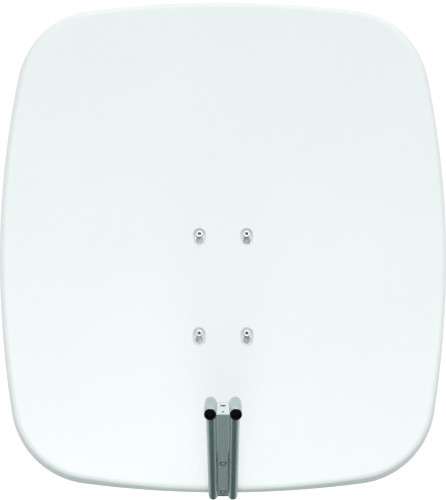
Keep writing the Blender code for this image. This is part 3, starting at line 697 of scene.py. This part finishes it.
def make_reflector():
    rim = rim_outline()
    count = len(rim)
    sections = [rim_section(rim[index - 1], rim[index], rim[(index + 1) % count]) for index in range(count)]
    points, edges = bowl_points(sections)
    flats, _, faces, _, _, _ = delaunay_2d_cdt(points, edges, [], 0, 1e-7)
    shape = bmesh.new()
    bowl = [shape.verts.new((flat.x, bowl_depth(flat), flat.y)) for flat in flats]
    for face in faces:
        centre = sum((flats[index] for index in face), Vector((0, 0))) / len(face)
        if not any(in_keyhole(centre, *seat) for seat in SEATS):
            shape.faces.new([bowl[index] for index in face])
    loops = [bowl[:count]]
    for level in range(1, len(sections[0])):
        loops.append([shape.verts.new(section[level]) for section in sections])
    for inner, outer in zip(loops, loops[1:]):
        for index in range(count):
            following = (index + 1) % count
            shape.faces.new((inner[index], outer[index], outer[following], inner[following]))
    made = piece("reflector", shape, ENAMEL, "reflector", APERTURE, crease=60)
    if made.data.polygons[0].normal.y > 0:
        made.data.flip_normals()
    shell = made.modifiers.new("sheet", "SOLIDIFY")
    shell.thickness = SHEET
    shell.offset = -1
    shell.use_even_offset = True
    shell.use_quality_normals = True
    round_edges(made, EDGE, 60)


# ---------------- fasteners

def chamfered_hex(half_across, low, high, both=True):
    """Levels of a hexagon whose corners are turned off at its top, and at its foot too if both."""
    corner = half_across / cos(pi / 6)
    face = half_across * 0.93
    drop = (corner - face) * 0.58
    up = [(hexagon(half_across, corner + (face - corner) * step / 4), high - drop + drop * step / 4)
          for step in range(5)]
    if not both:
        return [(hexagon(half_across * 0.985), low), (hexagon(half_across), low + 0.0002)] + up
    down = [(hexagon(half_across, face + (corner - face) * step / 4), low + drop * step / 4)
            for step in range(5)]
    return down + up


def shank(radius, pitch, plain, length):
    """Levels of a shank that runs down from 0: plain, then threaded, then a chamfered end."""
    levels = [(circle(radius), 0), (circle(radius), -plain)]
    threads = round((length - plain - pitch) / pitch * 6)
    for step in range(threads + 1):
        height = -plain - pitch * (step + 1) / 6
        levels.append((thread(radius, pitch, height), height))
    levels.append((circle(radius - THREAD_DEPTH * pitch), -length + 0.0003))
    levels.append((circle(radius - 0.7 * pitch), -length))
    return levels


def hex_bolt(node, size, length, body, matrix, plain=0.004, finish=ZINC):
    across, head, diameter = size
    levels = chamfered_hex(across / 2, 0, head, both=False)[::-1]
    top = [(circle(across * 0.36), head - 0.00025), (circle(across * 0.39), head)]
    levels = top + levels + shank(diameter / 2, PITCHES[diameter], plain, length)
    piece(node, turned(levels), finish, body, matrix)


def nut(node, size, body, matrix):
    across, height, diameter = size
    bore = diameter / 2 - 0.0001
    mouth = diameter / 2 + 0.0004
    levels = [(circle(bore), 0.0006), (circle(mouth), 0)] + chamfered_hex(across / 2, 0, height)
    levels += [(circle(mouth), height), (circle(bore), height - 0.0006)]
    piece(node, turned(levels, closed=True), ZINC, body, matrix)


def flange_nut(node, body, matrix):
    """M8 nut with a round collar under its hexagon."""
    levels = [(circle(0.0041), 0.0005), (circle(0.0045), 0), (circle(0.0085), 0), (circle(0.0088), 0.0003),
              (circle(0.0088), 0.001), (circle(0.0082), 0.0015)]
    levels += [(hexagon(0.0065, 0.0082 - 0.0002 * step), 0.0018 + 0.0002 * step) for step in range(4)]
    levels += chamfered_hex(0.0065, 0.0026, 0.008)[5:]
    levels += [(circle(0.0045), 0.008), (circle(0.0041), 0.0075)]
    piece(node, turned(levels, closed=True), ZINC, body, matrix)


def washer(node, size, body, matrix):
    outer, thickness, diameter = size
    bore = diameter / 2 + GAP
    edge = 0.0002
    levels = [(circle(bore), edge), (circle(bore + edge), 0), (circle(outer - edge), 0),
              (circle(outer), edge), (circle(outer), thickness - edge), (circle(outer - edge), thickness),
              (circle(bore + edge), thickness), (circle(bore), thickness - edge)]
    piece(node, turned(levels, 48, closed=True), ZINC, body, matrix)


def knurl(radius):
    """A cap screw's finely ridged side."""
    return lambda angle: radius - 0.00009 * (1 + cos(angle * 36))


def cap_screw(node, length, body, matrix):
    """M8 cap screw: ridged head, chamfered crown and a hexagon socket with a countersunk mouth."""
    levels = shank(0.004, PITCHES[0.008], 0.004, length)[::-1]
    levels += [(circle(0.0062), 0), (knurl(0.0065), 0.0003), (knurl(0.0065), 0.0066),
               (circle(0.0063), 0.0069), (circle(0.0061), 0.0076), (circle(0.0057), 0.0079),
               (circle(0.0053), 0.008), (circle(0.0037), 0.008), (hexagon(0.003, 0.0036), 0.0077),
               (hexagon(0.003), 0.0072), (hexagon(0.003), 0.004), (circle(0.0012), 0.0034)]
    piece(node, turned(levels, 108), ZINC, body, matrix)


LEVELS = (("upper", 1), ("lower", -1))
SIDES = (("left", -1), ("right", 1))


def make_reflector_screws():
    for side, sign in SIDES:
        for level, up in LEVELS:
            label = level + "_" + side
            x, z = sign * BOLT_X, up * PATTERN_HALF
            front = along((x, -SHEET - GAP, z), FORWARD)
            back = along((x, PLATE + 2 * GAP, z), BACK)
            cap_screw("reflector_screw_" + label, REFLECTOR_SCREW, "head", CARRIER @ front)
            flange_nut("reflector_nut_" + label, "head", CARRIER @ back)


def make_elevation_bolts():
    seat = CARRIER_HALF + GAP
    head = seat + M10_WASHER[1] + GAP
    for side, sign in SIDES:
        place = along((sign * seat, 0, 0), (sign, 0, 0))
        washer("pivot_washer_" + side, M10_WASHER, "head", ELEVATION @ place)
    hex_bolt("pivot_bolt", M10_BOLT, 2 * head + 0.0115, "head", ELEVATION @ along((head, 0, 0), (1, 0, 0)),
             plain=0.108)
    nut("pivot_nut", M10_NUT, "head", ELEVATION @ along((-head, 0, 0), (-1, 0, 0)))
    place = Vector((0, sin(LOCK_ANGLE), -cos(LOCK_ANGLE))) * LOCK_RADIUS
    for side, sign in SIDES:
        inner, outer, cap = (place + Vector((sign * x, 0, 0)) for x in
                             (BRACKET_HALF - PLATE - GAP, seat, seat + M8_WASHER[1] + GAP))
        hex_bolt("lock_bolt_" + side, M8_BOLT, LOCK_BOLT, "head", ELEVATION @ along(inner, (-sign, 0, 0)))
        washer("lock_washer_" + side, M8_WASHER, "head", ELEVATION @ along(outer, (sign, 0, 0)))
        nut("lock_nut_" + side, M8_NUT, "head", ELEVATION @ along(cap, (sign, 0, 0)))


def make_clamp_bolts():
    front = -BRACKET_WEB - PLATE - GAP
    rear = JAW_PATH[0][1] + JAW / 2 + GAP
    for side, sign in SIDES:
        for level, up in LEVELS:
            label = level + "_" + side
            x, z = sign * CLAMP_X, up * CLAMP_Z
            hex_bolt("clamp_bolt_" + label, M8_BOLT, -CLAMP_TIP - front, "mount",
                     along((x, front, z), FORWARD), plain=0.062)
            washer("clamp_washer_" + label, M8_WASHER, "clamp", along((x, rear, z), BACK))
            nut("clamp_nut_" + label, M8_NUT, "clamp", along((x, rear + M8_WASHER[1] + GAP, z), BACK))


# ---------------- folded plates

def folded_channel(half, web, reach, low, high):
    """A plate folded to a U: its web runs along X at the depth web, its sides run to the depth reach."""
    side = half - PLATE / 2
    radius = FOLD + PLATE / 2
    path = rounded([(-side, reach), (-side, web), (side, web), (side, reach)], (radius, radius), 10)
    return prism(thickened(path, PLATE), low, high, along_z)


def make_carrier():
    pivot = IN_APERTURE.inverted() @ PIVOT_IN_APERTURE
    lock = IN_APERTURE.inverted() @ LOCK_IN_APERTURE
    back = GAP + PLATE
    ear = hull([(back, EAR_BOTTOM), (back, EAR_TOP), (0.012, EAR_TOP), (0.012, EAR_BOTTOM)]
               + arc((pivot.y, pivot.z), 0.02, 0, 2 * pi, 48)
               + arc((lock.y, lock.z), 0.015, 0, 2 * pi, 40))
    start = min(range(len(ear)), key=lambda index: hypot(ear[index][0] - back, ear[index][1] - EAR_BOTTOM))
    ear = ear[start:] + ear[:start]
    side = [(0, CARRIER_BOTTOM), (back, CARRIER_BOTTOM)] + ear + [(back, CARRIER_TOP), (0, CARRIER_TOP)]
    face = rounded_box((-CARRIER_HALF, CARRIER_BOTTOM), (CARRIER_HALF, CARRIER_TOP), 0.012, 10)
    relief = [rounded_box((sign * 0.061 - 0.0055, z - 0.0022), (sign * 0.061 + 0.0055, z + 0.0022), 0.002)
              for _, sign in SIDES for z in (EAR_BOTTOM - 0.0015, EAR_TOP + 0.0015)]
    shape = carved(
        folded_channel(CARRIER_HALF, GAP + PLATE / 2, 0.12, CARRIER_BOTTOM - 0.01, CARRIER_TOP + 0.01),
        ("INTERSECT", prism(side, -0.08, 0.08, across_x)),
        ("INTERSECT", prism(face, -0.01, 0.2, along_y)),
        ("DIFFERENCE", merged(*(prism(outline, -0.01, 0.0095, along_y) for outline in relief))),
        drill(four_holes(BOLT_X, PATTERN_HALF), SCREW_HOLE),
        drill([((0, 0, z), BACK) for z in STRAP_BOLTS], M8_HOLE),
        drill([(pivot, (1, 0, 0))], M10_HOLE, 0.2),
        drill([(lock, (1, 0, 0))], M8_HOLE, 0.2))
    soften(piece("carrier", shape, GALVANISED, "head", CARRIER))


def elevation_slot():
    """The lock bolt's curved slot in (y, z), about the pivot, with round ends."""
    low = LOCK_ANGLE - REST_TILT - TILT_UP - pi / 2
    high = LOCK_ANGLE - REST_TILT + TILT_DOWN - pi / 2
    centre = (PIVOT.y, PIVOT.z)
    end_low, end_high = ((centre[0] + LOCK_RADIUS * cos(angle), centre[1] + LOCK_RADIUS * sin(angle))
                         for angle in (low, high))
    outline = arc(centre, LOCK_RADIUS + LOCK_SLOT_RADIUS, low, high, 32)
    outline += arc(end_high, LOCK_SLOT_RADIUS, high, high + pi, 14)[1:-1]
    outline += arc(centre, LOCK_RADIUS - LOCK_SLOT_RADIUS, high, low, 32)
    outline += arc(end_low, LOCK_SLOT_RADIUS, low + pi, low + 2 * pi, 14)[1:-1]
    return outline


def make_bracket():
    slot = elevation_slot()
    lowest = min(slot, key=lambda point: point[1])
    side = hull([(-BRACKET_WEB, -BRACKET_HALF_HEIGHT), (-BRACKET_WEB, BRACKET_HALF_HEIGHT),
                 (-BRACKET_WEB - 0.015, BRACKET_HALF_HEIGHT)]
                + arc((PIVOT.y, PIVOT.z), 0.019, 0, 2 * pi, 48)
                + arc((lowest[0], lowest[1] + LOCK_SLOT_RADIUS), 0.0135, 0, 2 * pi, 40))
    shape = carved(
        folded_channel(BRACKET_HALF, -BRACKET_WEB - PLATE / 2, -0.16, -0.07, 0.07),
        ("INTERSECT", prism(side, -0.08, 0.08, across_x)),
        ("DIFFERENCE", prism(slot, -0.08, 0.08, across_x)),
        drill([(PIVOT, (1, 0, 0))], M10_HOLE, 0.2),
        drill(four_holes(CLAMP_X, CLAMP_Z, -BRACKET_WEB), CLAMP_HOLE))
    soften(piece("mast_bracket", shape, GALVANISED, "mount"))


def make_elevation_scale():
    """Plain tick marks every five degrees beside the curved slot, longer every ten."""
    ticks = []
    for _, sign in SIDES:
        for index in range(9):
            angle = LOCK_ANGLE - REST_TILT - TILT_UP + radians(5 * index) - pi / 2
            length = 0.0042 if index % 2 == 0 else 0.0026
            reach = LOCK_RADIUS + 0.0064 + length / 2
            middle = Vector((sign * BRACKET_HALF, PIVOT.y + reach * cos(angle), PIVOT.z + reach * sin(angle)))
            turn = Matrix.Translation(middle) @ Matrix.Rotation(angle, 4, "X")
            box = rounded_box((-length / 2, -0.00035), (length / 2, 0.00035), 0.0003, 3)
            tick = prism(box, -0.0001, 0.0001, across_x)
            tick.transform(turn)
            ticks.append(tick)
    made = link("elevation_scale", merged(*ticks))
    made.data.materials.append(INK)
    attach(made, "mount")


def make_jaw(node, sign, body):
    """Pressed plate with a 120-degree vee for the mast and a hole at each corner."""
    half = [Vector((x, sign * -y)) for x, y in JAW_PATH]
    path = half + [Vector((-point.x, point.y)) for point in half[-2::-1]]
    path = rounded([tuple(point) for point in path], (0.004, 0.003, 0.003, 0.003, 0.004), 8)
    holes = four_holes(CLAMP_X, CLAMP_Z, sign * -JAW_PATH[0][1])
    shape = carved(prism(thickened(path, JAW), -JAW_HALF_HEIGHT, JAW_HALF_HEIGHT, along_z),
                   drill(holes, CLAMP_HOLE))
    soften(piece(node, shape, GALVANISED, body))


# ---------------- feed arm

def arm_line(distance, lift=0.0):
    """A place on the arm's straight part as (y, z): distance from the rim plane, lift off the centreline."""
    forward = distance * cos(ARM_SLOPE) - lift * sin(ARM_SLOPE)
    return Vector((-forward, ARM_CROSSING + distance * sin(ARM_SLOPE) + lift * cos(ARM_SLOPE)))


def arm_path(start=ARM_START, straight=24, steps=40):
    """The arm's centreline in (y, z): straight, a long bend downward, and a short straight nose."""
    first, last = arm_line(start), arm_line(ARM_RUN)
    points = [first.lerp(last, step / straight) for step in range(straight + 1)]
    centre = arm_line(ARM_RUN, -ARM_BEND)
    for step in range(1, steps + 1):
        slope = ARM_SLOPE - (ARM_SLOPE + NOSE_DROP) * step / steps
        points.append(centre + Vector((sin(slope), cos(slope))) * ARM_BEND)
    points.append(points[-1] + Vector((-cos(NOSE_DROP), -sin(NOSE_DROP))) * NOSE_LENGTH)
    return points


def path_normals(path):
    normals = []
    for index in range(len(path)):
        ahead = path[min(index + 1, len(path) - 1)] - path[max(index - 1, 0)]
        normals.append(Vector((ahead.y, -ahead.x)).normalized())
    return normals


def add_grain(made, path):
    """Store where each vertex lies across and along the arm, so that the drawn lines follow its bend."""
    normals = path_normals(path)
    lengths = [0.0]
    for before, point in zip(path, path[1:]):
        lengths.append(lengths[-1] + (point - before).length)
    grain = made.data.attributes.new("grain", "FLOAT_VECTOR", "POINT")
    for vertex, entry in zip(made.data.vertices, grain.data):
        flat = Vector((vertex.co.y, vertex.co.z))
        nearest = min(range(len(path)), key=lambda index: (path[index] - flat).length_squared)
        lift = (flat - path[nearest]).dot(normals[nearest])
        entry.vector = (vertex.co.x, lift, lengths[nearest] * 0.02)


def make_tube(side, sign):
    """A bent tube whose outer edges are chamfered at both ends."""
    path = arm_path()
    normals = path_normals(path)
    chamfer = 0.0003
    ends = [end + (inside - end).normalized() * chamfer
            for end, inside in ((path[0], path[1]), (path[-1], path[-2]))]
    outer = [(path[0], normals[0], TUBE_RADIUS - chamfer), (ends[0], normals[0], TUBE_RADIUS)]
    outer += [(point, normal, TUBE_RADIUS) for point, normal in list(zip(path, normals))[1:-1]]
    outer += [(ends[1], normals[-1], TUBE_RADIUS), (path[-1], normals[-1], TUBE_RADIUS - chamfer)]
    inner = [(point, normal, TUBE_BORE) for point, normal in list(zip(path, normals))[::-1]]
    rings = []
    for point, normal, radius in outer + inner:
        ring = []
        for index in range(48):
            angle = 2 * pi * index / 48
            flat = point + normal * radius * sin(angle)
            ring.append(Vector((sign * TUBE_HALF_PITCH + radius * cos(angle), flat.x, flat.y)))
        rings.append(ring)
    shape = bmesh.new()
    loft(shape, rings, closed=True)
    piece("arm_tube_" + side, shape, ARM_METAL, "head", APERTURE, drawn_along=path)


def make_plug(side, sign):
    """A push-in end cap with a dished face."""
    nose = arm_path()[-1]
    ahead = Vector((0, -cos(NOSE_DROP), -sin(NOSE_DROP)))
    place = Vector((sign * TUBE_HALF_PITCH, nose.x, nose.y)) + ahead * GAP
    profile = ((0.0064, -0.008), (0.0068, -0.0074), (0.0068, 0), (0.0083, 0), (0.0085, 0.0002),
               (0.0085, 0.0008), (0.0083, 0.0011), (0.0080, 0.0012), (0.0066, 0.0012), (0.0062, 0.0009),
               (0.0060, -0.004), (0.0055, -0.0046), (0.001, -0.005))
    levels = [(circle(radius), height) for radius, height in profile]
    piece("tube_plug_" + side, turned(levels, 48), PLASTIC, "head", APERTURE @ along(place, ahead))


def arm_screw_axes():
    places = [arm_line(distance) for distance in WEB_SCREWS]
    return [(Vector((0, place.x, place.y)), Vector((0, sin(ARM_SLOPE), cos(ARM_SLOPE)))) for place in places]


def nose_place(back):
    """A place on the web near the nose, measured back along the path, and the web's upward normal there."""
    path = arm_path()
    normals = path_normals(path)
    index = len(path) - 1
    while (path[index] - path[index - 1]).length < back:
        back -= (path[index] - path[index - 1]).length
        index -= 1
    flat = path[index] + (path[index - 1] - path[index]).normalized() * back
    normal = normals[index]
    return Vector((0, flat.x, flat.y)), Vector((0, normal.x, normal.y))


def is_bore_wall(face, place, axis, radius):
    offset = face.calc_center_median() - place
    return abs(face.normal.dot(axis)) < 0.1 and (offset - axis * offset.dot(axis)).length < radius * 1.05


def make_web():
    """The flat web between the tubes, with painted shade on the walls of the two holes near the nose."""
    path = arm_path(WEB_START)
    half = TUBE_HALF_PITCH - TUBE_RADIUS - GAP
    holes = ((nose_place(WEB_SLOT_BACK), WEB_SLOT_RADIUS), (nose_place(WEB_PIN_BACK), WEB_PIN_RADIUS))
    shape = carved(prism(thickened(path, WEB_THICKNESS), -half, half, across_x),
                   *(drill([axis], radius, 0.01) for axis, radius in holes),
                   drill(arm_screw_axes(), M6_HOLE, 0.008))
    # faces on the bore walls take the second material, the painted shade
    for face in shape.faces:
        face.material_index = int(any(is_bore_wall(face, *axis, radius) for axis, radius in holes))
    made = piece("arm_web", shape, WEB_METAL, "head", APERTURE, drawn_along=path)
    made.data.materials.append(SHADED_BORE_METAL)
    soften(made, WEB_EDGE)


STRAP_LIFT = TUBE_RADIUS + GAP + STRAP / 2


def strap_path():
    """The strap's middle in (y, z): up the carrier's back, under the rim and along the arm's upper side."""
    back = PLATE + 2 * GAP + STRAP / 2
    top = IN_APERTURE @ Vector((0, back, STRAP_TOP))
    low = IN_APERTURE @ Vector((0, back, -0.3))
    heel = top + (top - low) / (top.z - low.z) * (STRAP_DROP - top.z)
    on_arm = arm_line(STRAP_END, STRAP_LIFT)
    toe = (on_arm.x + (on_arm.y - STRAP_DROP) / tan(ARM_SLOPE), STRAP_DROP)
    return rounded([(top.y, top.z), (heel.y, heel.z), toe, tuple(on_arm)], STRAP_BENDS)


def make_strap():
    """A bent flat bar with rounded ends."""
    path = strap_path()
    straight = STRAP_HALF - STRAP_CORNER
    ends = []
    for index in range(1, 9):
        run = STRAP_CORNER * (1 - cos(pi / 2 * index / 8))
        ends.append((run, straight + sqrt(STRAP_CORNER ** 2 - (STRAP_CORNER - run) ** 2)))
    first = (path[1] - path[0]).normalized()
    last = (path[-2] - path[-1]).normalized()
    stations = [(path[0], straight)] + [(path[0] + first * run, half) for run, half in ends]
    stations += [(point, STRAP_HALF) for point in path[1:-1]]
    stations += [(path[-1] + last * run, half) for run, half in ends[::-1]] + [(path[-1], straight)]
    rims = thickened([point for point, _ in stations], STRAP)
    count = len(stations)
    shape = bmesh.new()
    rings = []
    for index, (_, half) in enumerate(stations):
        upper, lower = rims[index], rims[2 * count - 1 - index]
        rings.append([(-half, upper.x, upper.y), (half, upper.x, upper.y), (half, lower.x, lower.y),
                      (-half, lower.x, lower.y)])
    loft(shape, rings)
    backward = IN_APERTURE.to_3x3() @ Vector(BACK)
    bolts = [(IN_APERTURE @ Vector((0, PLATE, height)), backward) for height in STRAP_BOLTS]
    screws = [(place + up * STRAP_LIFT, up) for place, up in arm_screw_axes()]
    shape = carved(shape, drill(bolts, M8_HOLE), drill(screws, M6_HOLE, 0.012))
    soften(piece("arm_strap", shape, GALVANISED, "head", APERTURE))


def make_arm_fasteners():
    for label, (place, upward) in zip(("lower", "upper"), arm_screw_axes()):
        under = place - upward * (WEB_THICKNESS / 2 + GAP)
        above = place + upward * (TUBE_RADIUS + STRAP + 2 * GAP)
        # the web screws take the darker zinc copy, painted shade under the arm
        hex_bolt("web_screw_" + label, M6_BOLT, WEB_SCREW, "head", APERTURE @ along(under, -upward),
                 finish=SHADED_ZINC)
        nut("web_nut_" + label, M6_NUT, "head", APERTURE @ along(above, upward))
    seat = PLATE + STRAP + 3 * GAP
    for label, height in zip(("lower", "upper"), STRAP_BOLTS):
        washer("strap_washer_" + label, M8_WASHER, "head", CARRIER @ along((0, seat, height), BACK))
        hex_bolt("strap_bolt_" + label, M8_BOLT, STRAP_BOLT, "head",
                 CARRIER @ along((0, seat + M8_WASHER[1] + GAP, height), BACK))


# ---------------- floor, light and camera

def make_floor():
    shape = bmesh.new()
    corners = [(x * FLOOR_HALF, y * FLOOR_HALF, FLOOR_HEIGHT)
               for x, y in ((-1, -1), (1, -1), (1, 1), (-1, 1))]
    shape.faces.new([shape.verts.new(corner) for corner in corners])
    floor = link("floor", shape)
    floor.data.materials.append(floor_finish())
    floor.visible_diffuse = False
    floor.visible_glossy = False


def make_world():
    """White studio: a grey band above the horizon, grey in front, grey-green below and dark low behind."""
    world = bpy.data.worlds.new("studio")
    bpy.context.scene.world = world
    world.use_nodes = True
    nodes = Nodes(world.node_tree, "Generated")

    def toward(direction, stops):
        """A ramp over the cosine of the angle between the view and a direction, from opposite to along it."""
        unit = Vector(direction).normalized()
        cosine = nodes.add("VectorMath", [(0, nodes.place)], [(1, unit)], operation="DOT_PRODUCT")
        share = nodes.add("MapRange", [("Value", cosine.outputs["Value"])], [("From Min", -1)])
        return nodes.ramp(share.outputs[0], stops)

    band = (0.53, 0.54, 0.54)
    height = toward((0, 0, 1), (
        (0.0, (0.56, 0.62, 0.61)), (0.17, (0.58, 0.64, 0.63)), (0.23, (0.88, 0.97, 0.96)),
        (0.44, (0.92, 0.98, 0.97)), (0.49, 1.0), (0.62, 1.0), (0.66, band), (0.78, band), (0.85, 1.0)))
    ground = toward((0, 0.47, -0.88), (
        (0.74, 1.0), (0.8, 0.75), (0.9455, (0.56, 0.62, 0.61)), (0.9727, (0.16, 0.22, 0.21)),
        (1.0, (0.145, 0.2, 0.19))))
    front = toward(FORWARD, ((0.6, 1.0), (0.85, 0.6)))
    colour = nodes.mix(nodes.mix(height, ground, 1.0, "MULTIPLY"), front, 1.0, "MULTIPLY")
    background = nodes.tree.nodes["Background"].inputs
    nodes.tree.links.new(colour, background["Color"])
    background["Strength"].default_value = 1.04


def area_light(name, place, size, power, target=(0, -0.3, 0), diffused=True, mirrored=True):
    """A rectangular light, hidden from the camera, that lights diffusely, is mirrored, or both."""
    light = bpy.data.lights.new(name, "AREA")
    light.shape = "RECTANGLE"
    light.size, light.size_y = size
    light.energy = power
    made = put(name, light)
    made.matrix_world = along(place, Vector(place) - Vector(target))
    made.visible_camera = False
    made.visible_diffuse = diffused
    made.visible_glossy = mirrored


def make_camera():
    lens = bpy.data.cameras.new("camera")
    lens.sensor_fit = "VERTICAL"
    lens.sensor_height = SENSOR_MM
    lens.lens = FOCAL_MM
    lens.clip_end = 200
    camera = put("camera", lens)
    camera.location = CAMERA_PLACE
    camera.rotation_euler = (pi / 2, 0, 0)
    bpy.context.scene.camera = camera


make_camera()
make_reflector()
make_reflector_screws()
make_carrier()
make_elevation_bolts()
make_bracket()
make_elevation_scale()
make_jaw("front_jaw", 1, "mount")
make_jaw("rear_jaw", -1, "clamp")
make_clamp_bolts()
for side_name, side_sign in SIDES:
    make_tube(side_name, side_sign)
    make_plug(side_name, side_sign)
make_web()
make_strap()
make_arm_fasteners()
make_floor()
make_world()
area_light("softbox", (0.4, -2.9, 1.9), (2.4, 1.8), 27)
area_light("overhead", (0.3, -1.0, 2.8), (2.4, 1.8), 3)
area_light("low fill", (0, -1.4, -0.5), (2.0, 0.3), 7.4, target=(0, -0.3, -0.3), mirrored=False)
area_light("glint", (0, -2.9, 0.2), (0.8, 0.4), 2.4, diffused=False)
bpy.context.scene.view_settings.view_transform = "Standard"
